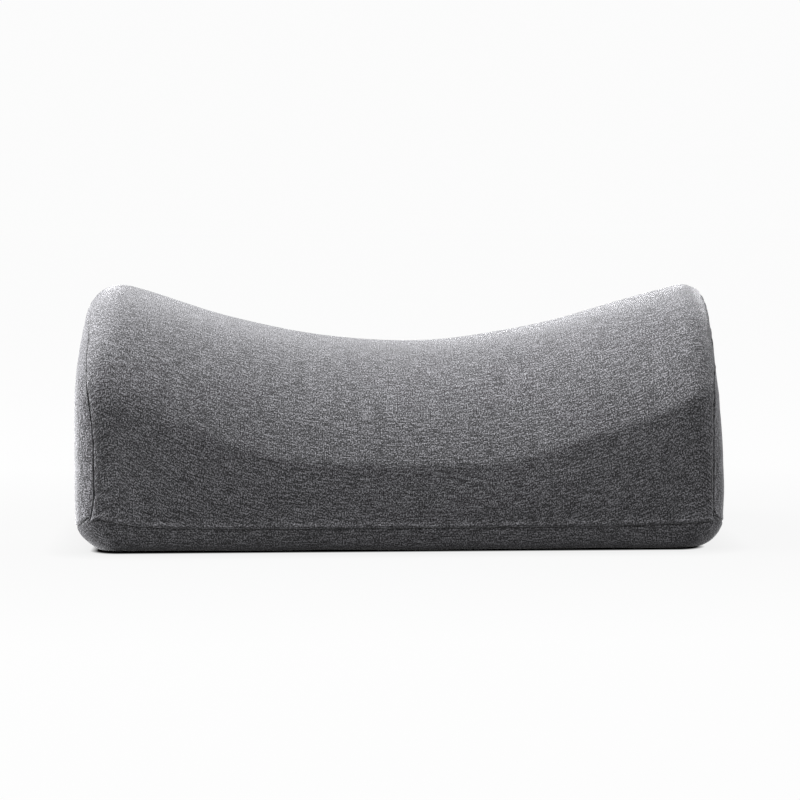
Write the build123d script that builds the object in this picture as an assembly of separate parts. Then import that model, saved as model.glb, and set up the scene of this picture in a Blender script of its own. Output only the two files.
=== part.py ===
from build123d import *
import math
import os

# Cervical traction pillow: a saddle-topped foam block in a sewn liner and a zipped knit cover.
# +X runs along the pillow, the front faces -Y, +Z is up, and the origin is the middle of the
# base, on the surface the pillow stands on. Millimetres.

# Driving dimensions of the outer surface
LENGTH = 320.0  # end face to end face
DEPTH = 180.0  # front wall to rear wall
CREST_HEIGHT = 98.5  # top of the vault at mid length
SADDLE_RISE = 21.5  # the crest climbs by SADDLE_RISE * (1 - cos) towards each end
SADDLE_HALF_WAVE = 233.0
VAULT_RADIUS = 100.0  # round top, seen from the end
BREAK_RADIUS = 16.0  # easing between the vault and the upright wall
BASE_EDGE_RADIUS = 10.0
END_EDGE_RADIUS = 18.0  # upright and top edges of the two ends
END_BASE_RADIUS = 11.0
BASE_SINK = 0.2  # the skin is drawn this much too deep, then cut off flat at the base

# Layers, as depths below the outer surface
COVER = 2.0  # knit cover
TAPE = 0.5  # zip tape, against the cover's inside
LINER_TOP = 3.0
LINER = 0.6
FOAM_TOP = 3.8
REAR_RELIEF = 1.8  # the rear of liner and foam stands further in, clear of the zip slider
CORE_HEIGHT = 38.0  # firm base foam, under the comfort layer, at mid length

# Seams
BASE_SEAM = 11.5  # height of the seam between the base panel and the panels above it
END_SEAM = 153.0  # distance of each end seam from mid length
LINER_SEAM = 148.0
SEAM_GAP = 0.8
LINER_SEAM_GAP = 0.2
THREAD_RADIUS = 0.3
THREAD_DEPTH = 1.0

# Zip, in the rear base seam, closed towards +X
ZIP_HEIGHT = 12.0
SLOT_HALF = 4.4  # half the opening between the two folded cover edges
SLOT_FROM = -137.0
SLOT_TO = 131.0
TAPE_FROM = -142.0
TAPE_TO = 137.0
TAPE_TOP = 21.5
TAPE_WRAP = 50.0  # degrees that the lower tape follows the base edge round
COIL_INNER = 0.1  # from the chain's middle to one half of it
COIL_WIDTH = 1.9
COIL_THICK = 1.7
COIL_FROM = -133.8
COIL_TO = 126.3
STOP_LENGTH = 2.2
STOP_THICK = 1.9
STOP_ROUND = 0.4
STOP_GAP = 0.2  # from a coil's end to its stop
STITCH_RADIUS = 0.2
STITCH_INSET = 2.0  # from the folded cover edge to its row of stitches
ROW_END = 1.0  # a row starts and ends this far inside the opening

# Zip slider, measured from its own middle
SLIDER_AT = 122.0
SLIDER_HALF_LENGTH = 4.2
SLIDER_REAR_HALF = 2.9
SLIDER_FRONT_HALF = 4.1
FLANGE = 0.6
FLARE_FROM = -1.5  # where the two halves of the chain start to part
FLARE_TO = 2.5
PARTING = 1.2  # how far each half moves aside
PLATE = 0.8
PLATE_ROUND = 0.5
PLATE_LIFT = 0.3  # running clearance to coils and tapes
POST_TAPER = 1.0  # the post's point starts this far into the flare
POST_SETBACK = 0.4
BRIDGE_HALF_LENGTH = 2.6
BRIDGE_HALF_WIDTH = 0.9
BRIDGE_FOOT = 1.0
BRIDGE_BAR = 0.8
BRIDGE_ROUND = 0.9
HINGE_LIFT = 0.9  # pull's axis above the slider's outer plate
PULL_RADIUS = 0.55
PULL_LENGTH = 21.0
PULL_HALF_WIDTH = 2.5
PULL_EYE_HALF = 1.3
PULL_EYE_LENGTH = 3.9
PULL_HOLE_RADIUS = 1.1
PULL_HOLE_INSET = 3.2
PULL_TIP_ROUND = 1.9

# Care label, sewn to the inside of the upper tape
LABEL_AT = 72.0
LABEL_WIDTH = 25.0
LABEL_LENGTH = 26.0
LABEL_THICK = 0.3
LABEL_FROM = 17.2

HALF_LENGTH = LENGTH / 2
HALF_DEPTH = DEPTH / 2
FLAT_HALF_LENGTH = HALF_LENGTH - END_EDGE_RADIUS  # the straight middle ends here
EDGE_CENTRE = HALF_DEPTH - BASE_EDGE_RADIUS  # y of the rear base edge's centre line
EDGE_CENTRE_HEIGHT = BASE_EDGE_RADIUS - BASE_SINK  # z of the same line
COVER_INSIDE = HALF_DEPTH - COVER  # y of the cover's inside on the rear wall
FAR = 300.0  # further than any point of the pillow

os.makedirs("parts", exist_ok=True)


def block(x, y, z):
    """A box from three (low, high) pairs."""
    size = [high - low for low, high in (x, y, z)]
    middle = [(high + low) / 2 for low, high in (x, y, z)]
    return Pos(*middle) * Box(*size)


def saddle(x):
    """How far the crest at x stands above its lowest point."""
    return SADDLE_RISE * (1 - math.cos(math.pi * x / SADDLE_HALF_WAVE))


def section(x, depth, side_inset, base_inset):
    """Closed outline of the pillow in the plane at x, with its skin moved inwards."""
    wall = HALF_DEPTH - depth - side_inset
    vault = VAULT_RADIUS - depth - side_inset
    easing = max(BREAK_RADIUS - depth - side_inset, 1.0)
    floor = depth + base_inset - BASE_SINK
    corner = max(BASE_EDGE_RADIUS - depth - base_inset, 1.0)
    crest = CREST_HEIGHT + saddle(x) - depth - side_inset
    centre = crest - vault
    easing_y = wall - easing
    easing_z = centre + math.sqrt((vault - easing) ** 2 - easing_y**2)
    break_angle = math.atan2(easing_y, easing_z - centre)
    break_y = vault * math.sin(break_angle)
    break_z = centre + vault * math.cos(break_angle)
    mid_angle = (math.pi / 2 + break_angle) / 2
    mid_y = easing_y + easing * math.sin(mid_angle)
    mid_z = easing_z + easing * math.cos(mid_angle)
    dip = corner * (1 - math.sqrt(0.5))
    edges = [
        Line((wall - corner, floor), (corner - wall, floor)),
        ThreePointArc((corner - wall, floor), (dip - wall, floor + dip), (-wall, floor + corner)),
        Line((-wall, floor + corner), (-wall, easing_z)),
        ThreePointArc((-wall, easing_z), (-mid_y, mid_z), (-break_y, break_z)),
        ThreePointArc((-break_y, break_z), (0, crest), (break_y, break_z)),
        ThreePointArc((break_y, break_z), (mid_y, mid_z), (wall, easing_z)),
        Line((wall, easing_z), (wall, floor + corner)),
        ThreePointArc((wall, floor + corner), (wall - dip, floor + dip), (wall - corner, floor)),
    ]
    plane = Plane(origin=(x, 0, 0), x_dir=(0, 1, 0), z_dir=(1, 0, 0))
    return plane * Wire(edges)


def end_insets(x, depth):
    """(inset of sides and top, inset of base) where the end's round edges cross the plane at x."""
    side_radius = END_EDGE_RADIUS - depth
    base_radius = END_BASE_RADIUS - depth
    end = HALF_LENGTH - depth
    insets = []
    for radius in (side_radius, base_radius):
        past = min(max(abs(x) - (end - radius), 0.0), radius)
        insets.append(radius - math.sqrt(radius**2 - past**2))
    return insets


def loft_through(places, depth):
    return Solid.make_loft([section(x, depth, *end_insets(x, depth)) for x in places])


def pillow(depth):
    """The whole pillow, with its skin moved inwards by depth."""
    spans = 12
    middle_places = [FLAT_HALF_LENGTH * (2 * i / spans - 1) for i in range(spans + 1)]
    radius = END_EDGE_RADIUS - depth
    end_places = [FLAT_HALF_LENGTH + radius * math.sin(math.radians(turn)) for turn in range(0, 91, 15)]
    middle = loft_through(middle_places, depth)
    right = loft_through(end_places, depth)
    whole = middle + right + mirror(right, about=Plane.YZ)
    return whole & block((-FAR, FAR), (-FAR, FAR), (depth, FAR))


def tube(path, radius):
    """A round thread along a path that starts at the path's first point."""
    start = Plane(origin=path @ 0, z_dir=path % 0)
    return sweep(start * Circle(radius), path=path)


def relieved_pillow(depth):
    """The pillow below its skin, with its rear wall moved in by REAR_RELIEF more."""
    return pillow(depth) & block((-FAR, FAR), (-FAR, HALF_DEPTH - depth - REAR_RELIEF), (-FAR, FAR))


# Cover: four knit panels that meet at the seams, open along the zip
cover_skin = pillow(0.0) - pillow(COVER)
seam_low = BASE_SEAM - SEAM_GAP / 2
seam_high = BASE_SEAM + SEAM_GAP / 2
seam_inside = END_SEAM - SEAM_GAP / 2
seam_outside = END_SEAM + SEAM_GAP / 2
zip_slot = block(
    (SLOT_FROM, SLOT_TO), (0, FAR), (ZIP_HEIGHT - SLOT_HALF, ZIP_HEIGHT + SLOT_HALF)
)
above_seam = (seam_high, FAR)
cover_wrap_panel = cover_skin & block((-seam_inside, seam_inside), (-FAR, FAR), above_seam)
cover_wrap_panel -= zip_slot
cover_end_right = cover_skin & block((seam_outside, FAR), (-FAR, FAR), above_seam)
cover_end_left = mirror(cover_end_right, about=Plane.YZ)
cover_base_panel = (cover_skin & block((-FAR, FAR), (-FAR, FAR), (-FAR, seam_low))) - zip_slot

# Liner: a wrap right round the foam, and two end panels
liner_skin = relieved_pillow(LINER_TOP) - relieved_pillow(LINER_TOP + LINER)
liner_gap_low = LINER_SEAM - LINER_SEAM_GAP / 2
liner_gap_high = LINER_SEAM + LINER_SEAM_GAP / 2
liner_wrap = liner_skin & block((-liner_gap_low, liner_gap_low), (-FAR, FAR), (-FAR, FAR))
liner_end_right = liner_skin & block((liner_gap_high, FAR), (-FAR, FAR), (-FAR, FAR))
liner_end_left = liner_skin & block((-FAR, -liner_gap_high), (-FAR, FAR), (-FAR, FAR))

# Foam: a firm core whose top follows the saddle, and the vaulted comfort layer on it
foam = relieved_pillow(FOAM_TOP)
core_places = [HALF_LENGTH * (i / 4 - 1) for i in range(9)]
core_top = Spline([(x, CORE_HEIGHT + saddle(x)) for x in core_places])
core_outline = [
    core_top,
    Line(core_top @ 1, (HALF_LENGTH, -FAR)),
    Line((HALF_LENGTH, -FAR), (-HALF_LENGTH, -FAR)),
    Line((-HALF_LENGTH, -FAR), core_top @ 0),
]
core_zone = extrude(Plane.XZ * make_face(core_outline), FAR, both=True)
support_core = foam & core_zone
comfort_layer = foam - core_zone

# Seam threads: one round each end, and one round the base up to the zip
end_thread_wire = section(END_SEAM, THREAD_DEPTH, *end_insets(END_SEAM, THREAD_DEPTH))
end_seam_right = tube(end_thread_wire, THREAD_RADIUS) & block(
    (0, FAR), (-FAR, FAR), (seam_high + THREAD_RADIUS, FAR)
)
end_seam_left = mirror(end_seam_right, about=Plane.YZ)
thread_x = HALF_LENGTH - THREAD_DEPTH
thread_y = HALF_DEPTH - THREAD_DEPTH
thread_corner = END_EDGE_RADIUS - THREAD_DEPTH
base_route = FilletPolyline(
    (SLOT_TO + ROW_END, thread_y, BASE_SEAM),
    (thread_x, thread_y, BASE_SEAM),
    (thread_x, -thread_y, BASE_SEAM),
    (-thread_x, -thread_y, BASE_SEAM),
    (-thread_x, thread_y, BASE_SEAM),
    (SLOT_FROM - ROW_END, thread_y, BASE_SEAM),
    radius=thread_corner,
)
base_seam = tube(base_route, THREAD_RADIUS)

# Zip tapes: flat above the chain, and following the base edge round below it
tape_inside = COVER_INSIDE - TAPE
tape_outer_radius = BASE_EDGE_RADIUS - COVER
tape_inner_radius = tape_outer_radius - TAPE


def on_base_edge(radius, degrees):
    """The point (y, z) at an angle below level round the rear base edge."""
    turn = math.radians(degrees)
    return EDGE_CENTRE + radius * math.cos(turn), EDGE_CENTRE_HEIGHT - radius * math.sin(turn)


lower_outline = [
    Line((COVER_INSIDE, ZIP_HEIGHT - COIL_INNER), (COVER_INSIDE, EDGE_CENTRE_HEIGHT)),
    ThreePointArc(
        (COVER_INSIDE, EDGE_CENTRE_HEIGHT),
        on_base_edge(tape_outer_radius, TAPE_WRAP / 2),
        on_base_edge(tape_outer_radius, TAPE_WRAP),
    ),
    Line(on_base_edge(tape_outer_radius, TAPE_WRAP), on_base_edge(tape_inner_radius, TAPE_WRAP)),
    ThreePointArc(
        on_base_edge(tape_inner_radius, TAPE_WRAP),
        on_base_edge(tape_inner_radius, TAPE_WRAP / 2),
        (tape_inside, EDGE_CENTRE_HEIGHT),
    ),
    Line((tape_inside, EDGE_CENTRE_HEIGHT), (tape_inside, ZIP_HEIGHT - COIL_INNER)),
    Line((tape_inside, ZIP_HEIGHT - COIL_INNER), (COVER_INSIDE, ZIP_HEIGHT - COIL_INNER)),
]
tape_plane = Plane(origin=(TAPE_FROM, 0, 0), x_dir=(0, 1, 0), z_dir=(1, 0, 0))
lower_tape = extrude(tape_plane * make_face(lower_outline), TAPE_TO - TAPE_FROM)
upper_tape = block(
    (TAPE_FROM, TAPE_TO), (tape_inside, COVER_INSIDE), (ZIP_HEIGHT + COIL_INNER, TAPE_TOP)
)


flare_start = SLIDER_AT + FLARE_FROM
flare_end = SLIDER_AT + FLARE_TO


def parted(from_x, to_x, near, far):
    """Outline in the plane of the rear wall that runs straight, then moves aside by PARTING.

    near and far are its two edges' heights above the chain's middle.
    """
    return [
        (from_x, near),
        (flare_start, near),
        (flare_end, near + PARTING),
        (to_x, near + PARTING),
        (to_x, far + PARTING),
        (flare_end, far + PARTING),
        (flare_start, far),
        (from_x, far),
    ]


def on_rear_wall(points, low_y, high_y):
    """A flat piece on the rear wall, from its outline as (x, height above the chain)."""
    plane = Plane(origin=(0, low_y, ZIP_HEIGHT), x_dir=(-1, 0, 0), z_dir=(0, 1, 0))
    outline = Polyline([(-x, height) for x, height in points], close=True)
    return extrude(plane * make_face(outline), high_y - low_y)


# Where the two tapes part round the slider's post
tape_gap = on_rear_wall(
    [
        (flare_start, 0),
        (flare_end, COIL_INNER + PARTING),
        (FAR, COIL_INNER + PARTING),
        (FAR, -COIL_INNER - PARTING),
        (flare_end, -COIL_INNER - PARTING),
    ],
    tape_inside - 1,
    COVER_INSIDE + 1,
)
zip_tape_upper = upper_tape - tape_gap
zip_tape_lower = lower_tape - tape_gap

# Coils and stops, on the outer face of the tapes
across_chain = Plane(origin=(0, 0, ZIP_HEIGHT), z_dir=(0, 0, 1))
coil_top = COVER_INSIDE + COIL_THICK
coil_outline = parted(COIL_FROM, COIL_TO, COIL_INNER, COIL_INNER + COIL_WIDTH)
zip_coil_upper = on_rear_wall(coil_outline, COVER_INSIDE, coil_top)
zip_coil_lower = mirror(zip_coil_upper, about=across_chain)


def stop(x, z):
    """A clamp on the tapes, with its outer edges rounded."""
    plain = block(x, (COVER_INSIDE, COVER_INSIDE + STOP_THICK), z)
    return fillet(plain.edges().group_by(Axis.Y)[-1], STOP_ROUND)


top_stop_x = COIL_TO + STOP_GAP
top_stop_z = ZIP_HEIGHT + COIL_INNER + PARTING
zip_top_stop_upper = stop((top_stop_x, top_stop_x + STOP_LENGTH), (top_stop_z, top_stop_z + COIL_WIDTH))
zip_top_stop_lower = mirror(zip_top_stop_upper, about=across_chain)
bottom_stop_x = COIL_FROM - STOP_GAP
chain_half = COIL_INNER + COIL_WIDTH
zip_bottom_stop = stop(
    (bottom_stop_x - STOP_LENGTH, bottom_stop_x), (ZIP_HEIGHT - chain_half, ZIP_HEIGHT + chain_half)
)

# Rows of stitches along the two folded edges of the zip opening
upper_row_height = ZIP_HEIGHT + SLOT_HALF + STITCH_INSET
lower_row_height = ZIP_HEIGHT - SLOT_HALF - STITCH_INSET
lower_row_drop = EDGE_CENTRE_HEIGHT - lower_row_height
lower_row_turn = math.degrees(math.asin(lower_row_drop / BASE_EDGE_RADIUS))
lower_row_y, lower_row_z = on_base_edge(BASE_EDGE_RADIUS + STITCH_RADIUS, lower_row_turn)


def stitch_row(y, z):
    plane = Plane(origin=(SLOT_FROM + ROW_END, y, z), z_dir=(1, 0, 0))
    return extrude(plane * Circle(STITCH_RADIUS), SLOT_TO - SLOT_FROM - 2 * ROW_END)


zip_stitch_upper = stitch_row(HALF_DEPTH + STITCH_RADIUS, upper_row_height)
zip_stitch_lower = stitch_row(lower_row_y, lower_row_z)

# Slider: outer and inner plates round the chain, joined by a post between its two halves
outer_plate_low = coil_top + PLATE_LIFT
outer_plate_high = outer_plate_low + PLATE
inner_plate_high = tape_inside - PLATE_LIFT
inner_plate_low = inner_plate_high - PLATE
slider_rear = SLIDER_AT - SLIDER_HALF_LENGTH
slider_front = SLIDER_AT + SLIDER_HALF_LENGTH


def slider_outline(inset):
    upper_side = [
        (slider_rear, SLIDER_REAR_HALF - inset),
        (flare_start, SLIDER_REAR_HALF - inset),
        (flare_end, SLIDER_FRONT_HALF - inset),
        (slider_front, SLIDER_FRONT_HALF - inset),
    ]
    return upper_side + [(x, -height) for x, height in reversed(upper_side)]


outer_plate = on_rear_wall(slider_outline(0.0), outer_plate_low, outer_plate_high)
outer_plate = fillet(outer_plate.edges().filter_by(Axis.Y), PLATE_ROUND)
inner_plate = on_rear_wall(slider_outline(FLANGE), inner_plate_low, inner_plate_high)
inner_plate = fillet(inner_plate.edges().filter_by(Axis.Y), PLATE_ROUND)
flange_low = COVER_INSIDE + PLATE_LIFT
flanges = on_rear_wall(slider_outline(0.0), flange_low, outer_plate_low)
flanges = fillet(flanges.edges().filter_by(Axis.Y), PLATE_ROUND)
channel = on_rear_wall(slider_outline(FLANGE), flange_low, outer_plate_low)
flanges -= channel
post_half = PARTING - PLATE_LIFT
post_outline = [
    (flare_start + POST_TAPER, 0),
    (flare_end, post_half),
    (slider_front - POST_SETBACK, 0),
    (flare_end, -post_half),
]
post = on_rear_wall(post_outline, inner_plate_low, outer_plate_high)
bridge_low = outer_plate_high
hinge_y = outer_plate_high + HINGE_LIFT
bar_low = hinge_y + HINGE_LIFT
bridge_high = bar_low + BRIDGE_BAR
bridge = block(
    (SLIDER_AT - BRIDGE_HALF_LENGTH, SLIDER_AT + BRIDGE_HALF_LENGTH),
    (bridge_low, bridge_high),
    (ZIP_HEIGHT - BRIDGE_HALF_WIDTH, ZIP_HEIGHT + BRIDGE_HALF_WIDTH),
)
bridge = fillet(bridge.edges().group_by(Axis.Y)[-1].filter_by(Axis.Z), BRIDGE_ROUND)
eye_half = BRIDGE_HALF_LENGTH - BRIDGE_FOOT
bridge -= block(
    (SLIDER_AT - eye_half, SLIDER_AT + eye_half), (bridge_low, bar_low), (0, 2 * ZIP_HEIGHT)
)
zip_slider = outer_plate + inner_plate + flanges + post + bridge

# Pull: a flat tab whose eye goes round the bridge, lying towards the closed end
pull_tip = SLIDER_AT + PULL_LENGTH
tab = block(
    (SLIDER_AT, pull_tip),
    (hinge_y - PULL_RADIUS, hinge_y + PULL_RADIUS),
    (ZIP_HEIGHT - PULL_HALF_WIDTH, ZIP_HEIGHT + PULL_HALF_WIDTH),
)
tab = fillet(tab.edges().filter_by(Axis.Y).group_by(Axis.X)[-1], PULL_TIP_ROUND)
eye = block(
    (SLIDER_AT, SLIDER_AT + PULL_EYE_LENGTH),
    (0, FAR),
    (ZIP_HEIGHT - PULL_EYE_HALF, ZIP_HEIGHT + PULL_EYE_HALF),
)
pin = Pos(SLIDER_AT, hinge_y, ZIP_HEIGHT) * Cylinder(PULL_RADIUS, 2 * PULL_HALF_WIDTH)
hole_at = Pos(pull_tip - PULL_HOLE_INSET, hinge_y, ZIP_HEIGHT) * Rot(90, 0, 0)
zip_pull = (tab - eye) + pin - hole_at * Cylinder(PULL_HOLE_RADIUS, 4 * PULL_RADIUS)

care_label = block(
    (LABEL_AT - LABEL_WIDTH / 2, LABEL_AT + LABEL_WIDTH / 2),
    (tape_inside - LABEL_THICK, tape_inside),
    (LABEL_FROM, LABEL_FROM + LABEL_LENGTH),
)

pieces = {
    "support_core": support_core,
    "comfort_layer": comfort_layer,
    "liner_wrap": liner_wrap,
    "liner_end_left": liner_end_left,
    "liner_end_right": liner_end_right,
    "cover_wrap_panel": cover_wrap_panel,
    "cover_end_left": cover_end_left,
    "cover_end_right": cover_end_right,
    "cover_base_panel": cover_base_panel,
    "end_seam_left": end_seam_left,
    "end_seam_right": end_seam_right,
    "base_seam": base_seam,
    "zip_tape_upper": zip_tape_upper,
    "zip_tape_lower": zip_tape_lower,
    "zip_coil_upper": zip_coil_upper,
    "zip_coil_lower": zip_coil_lower,
    "zip_top_stop_upper": zip_top_stop_upper,
    "zip_top_stop_lower": zip_top_stop_lower,
    "zip_bottom_stop": zip_bottom_stop,
    "zip_stitch_upper": zip_stitch_upper,
    "zip_stitch_lower": zip_stitch_lower,
    "zip_slider": zip_slider,
    "zip_pull": zip_pull,
    "care_label": care_label,
}
for name, piece in pieces.items():
    export_step(piece, f"parts/{name}.step")
print("hinge", SLIDER_AT, hinge_y, ZIP_HEIGHT, "slider travel", slider_rear - COIL_FROM)
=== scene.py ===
import math

import bmesh
import bpy
import numpy as np
from mathutils import Euler, Matrix, Vector, geometry
from mathutils.kdtree import KDTree


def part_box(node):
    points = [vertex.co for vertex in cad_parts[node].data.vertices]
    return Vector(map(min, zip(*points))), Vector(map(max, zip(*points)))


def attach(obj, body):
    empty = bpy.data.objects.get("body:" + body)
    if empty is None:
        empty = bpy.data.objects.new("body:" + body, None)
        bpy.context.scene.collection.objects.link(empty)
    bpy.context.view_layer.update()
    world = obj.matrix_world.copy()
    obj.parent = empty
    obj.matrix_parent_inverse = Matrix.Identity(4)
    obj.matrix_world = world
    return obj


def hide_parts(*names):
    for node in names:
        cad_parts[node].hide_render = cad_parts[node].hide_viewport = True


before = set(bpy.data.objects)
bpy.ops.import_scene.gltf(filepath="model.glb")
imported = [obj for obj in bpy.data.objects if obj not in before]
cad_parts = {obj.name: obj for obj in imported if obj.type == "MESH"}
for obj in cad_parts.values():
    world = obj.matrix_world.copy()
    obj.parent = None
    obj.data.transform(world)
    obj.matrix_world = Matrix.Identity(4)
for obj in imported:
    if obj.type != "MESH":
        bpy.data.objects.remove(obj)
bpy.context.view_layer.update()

# Cervical traction pillow, dressed over its CAD frame. Metres, +X along the pillow, front -Y.

MM = 0.001

# Places taken from the frame
base_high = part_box("cover_base_panel")[1]
slider_low, slider_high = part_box("zip_slider")
HALF_LENGTH = base_high.x
HALF_DEPTH = base_high.y
SEAM_HEIGHT = base_high.z + 0.4 * MM
ZIP_HEIGHT = (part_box("zip_coil_upper")[0].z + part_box("zip_coil_lower")[1].z) / 2

# Outer form
CREST = 98.3 * MM  # lowest point of the crest
SADDLE_RISE = 21.5 * MM
SADDLE_HALF_WAVE = 232.6 * MM
SADDLE_MIDDLE = 3.8 * MM
VAULT = 100 * MM  # radius of the round top where the crest is lowest
BREAK = 9 * MM  # easing between the vault and the upright wall
LEFT_BREAK = 34 * MM  # the same bend at the left end
UPRIGHT_EDGE = 15 * MM  # radius of the upright corners
LEFT_SHOULDER = 23.5 * MM  # radius that those corners grow to at the top
RIGHT_SHOULDER = 13 * MM
LEFT_LIFT = 1.8 * MM  # how much higher the left shoulder stands
BASE_EDGE = 10 * MM  # radius of the lower edge, here and at the two ends
LEFT_BASE_EDGE = 17 * MM
RIGHT_BASE_EDGE = 14 * MM
COVER = 2 * MM  # thickness of the knit
HEART = 45 * MM  # height of the line that the panels are drawn round
SPINE = 120 * MM  # half length of the line that level sections are drawn round

# Seams and zip opening
SEAM_ROLL = 1.0 * MM  # how far a panel's edge rolls in at a seam
SEAM_RIDGE = 0.85 * MM  # how far the wrap stands out above the base seam
END_RIDGE = 0.1 * MM  # the same on the end panels
RIDGE_PLACE = 1.25 * MM  # distance of that ridge from the seam
RIDGE_WIDTH = 0.8 * MM
END_SEAM = 153.5 * MM
OPENING_FROM = -137 * MM
OPENING_TO = 131 * MM
OPENING_HALF = 4.8 * MM
OPENING_TAPER = 4 * MM

END_RISE = 78 * MM  # length of an end panel's two upright edges

# Mesh steps: next to a seam, and on open cloth
FINE = 0.25 * MM
COARSE = 1.9 * MM
GROWTH = 1.3  # from one step to the next in between

# The flat underside: the rings' reach under it, then an even fill inside them
UNDER_RINGS = 14 * MM
FILL_HALF_LENGTH = 148 * MM
FILL_HALF_DEPTH = 72 * MM
FILL_SLACK = 0.1 * MM  # so that the last row isn't lost to rounding
FILL_STEP = 4 * MM
FILL_MARGIN = 2.5 * MM


def smooth(low, high, value):
    """0 below low, 1 above high, easing between."""
    t = np.clip((value - low) / (high - low), 0, 1)
    return t * t * (3 - 2 * t)


def unit(vectors):
    """The same directions with length 1."""
    return vectors / np.linalg.norm(vectors, axis=-1, keepdims=True)


def joined(*coordinates):
    """Points from their coordinates, any of which may be the same number for all."""
    return np.stack(np.broadcast_arrays(*coordinates), axis=-1)


# -------- outer form


def saddle(x):
    """How far the crest stands above its lowest point; the left shoulder stands a little higher."""
    wave = SADDLE_RISE * (1 - np.cos(np.pi * (x - SADDLE_MIDDLE) / SADDLE_HALF_WAVE))
    return wave + LEFT_LIFT * smooth(0.085, 0.13, -x)


def end_place(x, z):
    """Distance of an end face from mid length at a height: it bellies low down and leans in above."""
    left = HALF_LENGTH - 1.5 * MM - 1.6 * MM * smooth(0.06, 0.12, z)
    belly = 0.9 * MM * np.exp(-(((z - 0.026) / 0.012) ** 2))
    right = HALF_LENGTH + belly - 2.0 * MM * smooth(0.035, 0.09, z) + 1.4 * MM * smooth(0.1, 0.125, z)
    return np.where(x < 0, left, right)


def rounded_meet(a, b, radius):
    """Distance field of what lies inside both a and b, with their common edge rounded."""
    u = np.maximum(a + radius, 0)
    v = np.maximum(b + radius, 0)
    return np.minimum(-radius, np.maximum(a, b)) + np.hypot(u, v)


def vault_radius(x):
    """Radius of the round top: a little tighter beside the hollow, and flatter at the two ends."""
    beside = 2.5 * MM * np.exp(-(((np.abs(x) - 0.06) / 0.028) ** 2))
    return VAULT - beside + 4 * MM * smooth(0.11, 0.155, np.abs(x))


def break_radius(x):
    """Radius of the bend between wall and top, which is much softer towards the left end."""
    return BREAK + (LEFT_BREAK - BREAK) * smooth(0.075, 0.145, -x)


def cross_section(x, y, z):
    """Distance from the outline of round top and upright walls, negative inside."""
    radius = vault_radius(x)
    bend = break_radius(x)
    centre = CREST + saddle(x) - radius
    easing_y = HALF_DEPTH - bend
    easing_up = np.sqrt((radius - bend) ** 2 - easing_y**2)
    out = np.abs(y) - easing_y
    up = z - centre - easing_up
    vault = np.hypot(y, np.maximum(z - centre, 0)) - radius
    between = (up >= 0) & (out * easing_up - up * easing_y >= 0)
    straight = np.where(up < 0, out - bend, vault)
    return np.where(between, np.hypot(out, up) - bend, straight)


def base_edge(x):
    """Radius of the lower edge, larger at the two ends."""
    ends = np.where(x < 0, LEFT_BASE_EDGE, RIGHT_BASE_EDGE)
    return BASE_EDGE + (ends - BASE_EDGE) * smooth(HALF_LENGTH - 22 * MM, HALF_LENGTH - 8 * MM, np.abs(x))


def form(p):
    """Roughly the distance from the pillow's smooth outer form, negative inside."""
    x, y, z = p[..., 0], p[..., 1], p[..., 2]
    shoulder = np.where(x < 0, LEFT_SHOULDER, RIGHT_SHOULDER)
    edge = UPRIGHT_EDGE + (shoulder - UPRIGHT_EDGE) * smooth(0.085, 0.115, z)
    end = np.abs(x) - end_place(x, z)
    body = rounded_meet(cross_section(x, y, z), end, edge)
    return rounded_meet(body, -z, base_edge(x))


def outward(p):
    """Unit normals of the form at points on or near it."""
    step = 0.2 * MM
    out = np.zeros_like(p)
    for axis in range(3):
        shift = np.zeros(3)
        shift[axis] = step
        out[..., axis] = form(p + shift) - form(p - shift)
    return out / np.maximum(np.linalg.norm(out, axis=-1, keepdims=True), 1e-12)


def onto_form(p):
    """Moves points that are near the form onto it."""
    p = np.array(p, float)
    for _ in range(12):
        p -= outward(p) * form(p)[..., None]
    return p


def cast(origin, direction):
    """Points where rays from inside the form leave it."""
    near = np.zeros(direction.shape[:-1])
    far = np.full(direction.shape[:-1], 0.25)
    for _ in range(36):
        middle = (near + far) / 2
        inside = form(origin + direction * middle[..., None]) < 0
        near = np.where(inside, middle, near)
        far = np.where(inside, far, middle)
    return origin + direction * near[..., None]


def cast_level(p):
    """Points moved level, away from the pillow's middle line, onto the form."""
    origin = joined(np.clip(p[..., 0], -SPINE, SPINE), 0, p[..., 2])
    return cast(origin, unit(p - origin))


def cast_section(p):
    """Points moved within their own YZ plane, away from the heart line, onto the form."""
    origin = joined(p[..., 0], 0, HEART)
    return cast(origin, unit(p - origin))


# -------- seam lines


def base_seam_height(x, y):
    """The base seam climbs towards its two front corners, and falls again round them."""
    from_left = np.where(y < -0.0885, x + 0.149, 5.0 * (y + 0.0885))
    from_right = np.where(y < -0.0875, 0.152 - x, 3.0 * (y + 0.0875))
    left = 5.6 * MM * np.exp(-np.abs(from_left) / 0.019)
    right = 2.1 * MM * np.exp(-np.abs(from_right) / 0.03)
    return SEAM_HEIGHT + (left + right) * smooth(0.0, 0.07, -y)


def end_seam_drift(side, z):
    """How far outwards the left (-1) or right (+1) end seam wanders from its plane."""
    if side < 0:
        low_down = -3.9 * MM * smooth(0.092, 0.052, z) * smooth(0.006, 0.028, z)
        return -1.3 * MM + low_down + 3.0 * MM * smooth(0.104, 0.118, z)
    low_down = 0.5 * MM * smooth(0.01, 0.02, z) + 0.6 * MM * smooth(0.06, 0.08, z)
    return low_down + 2.6 * MM * smooth(0.078, 0.095, z)


def opening(x):
    """Share of the zip opening's full height at x: 0 where the seam is closed."""
    opens = smooth(OPENING_FROM - OPENING_TAPER, OPENING_FROM, x)
    return opens * (1 - smooth(OPENING_TO, OPENING_TO + OPENING_TAPER, x))


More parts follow.
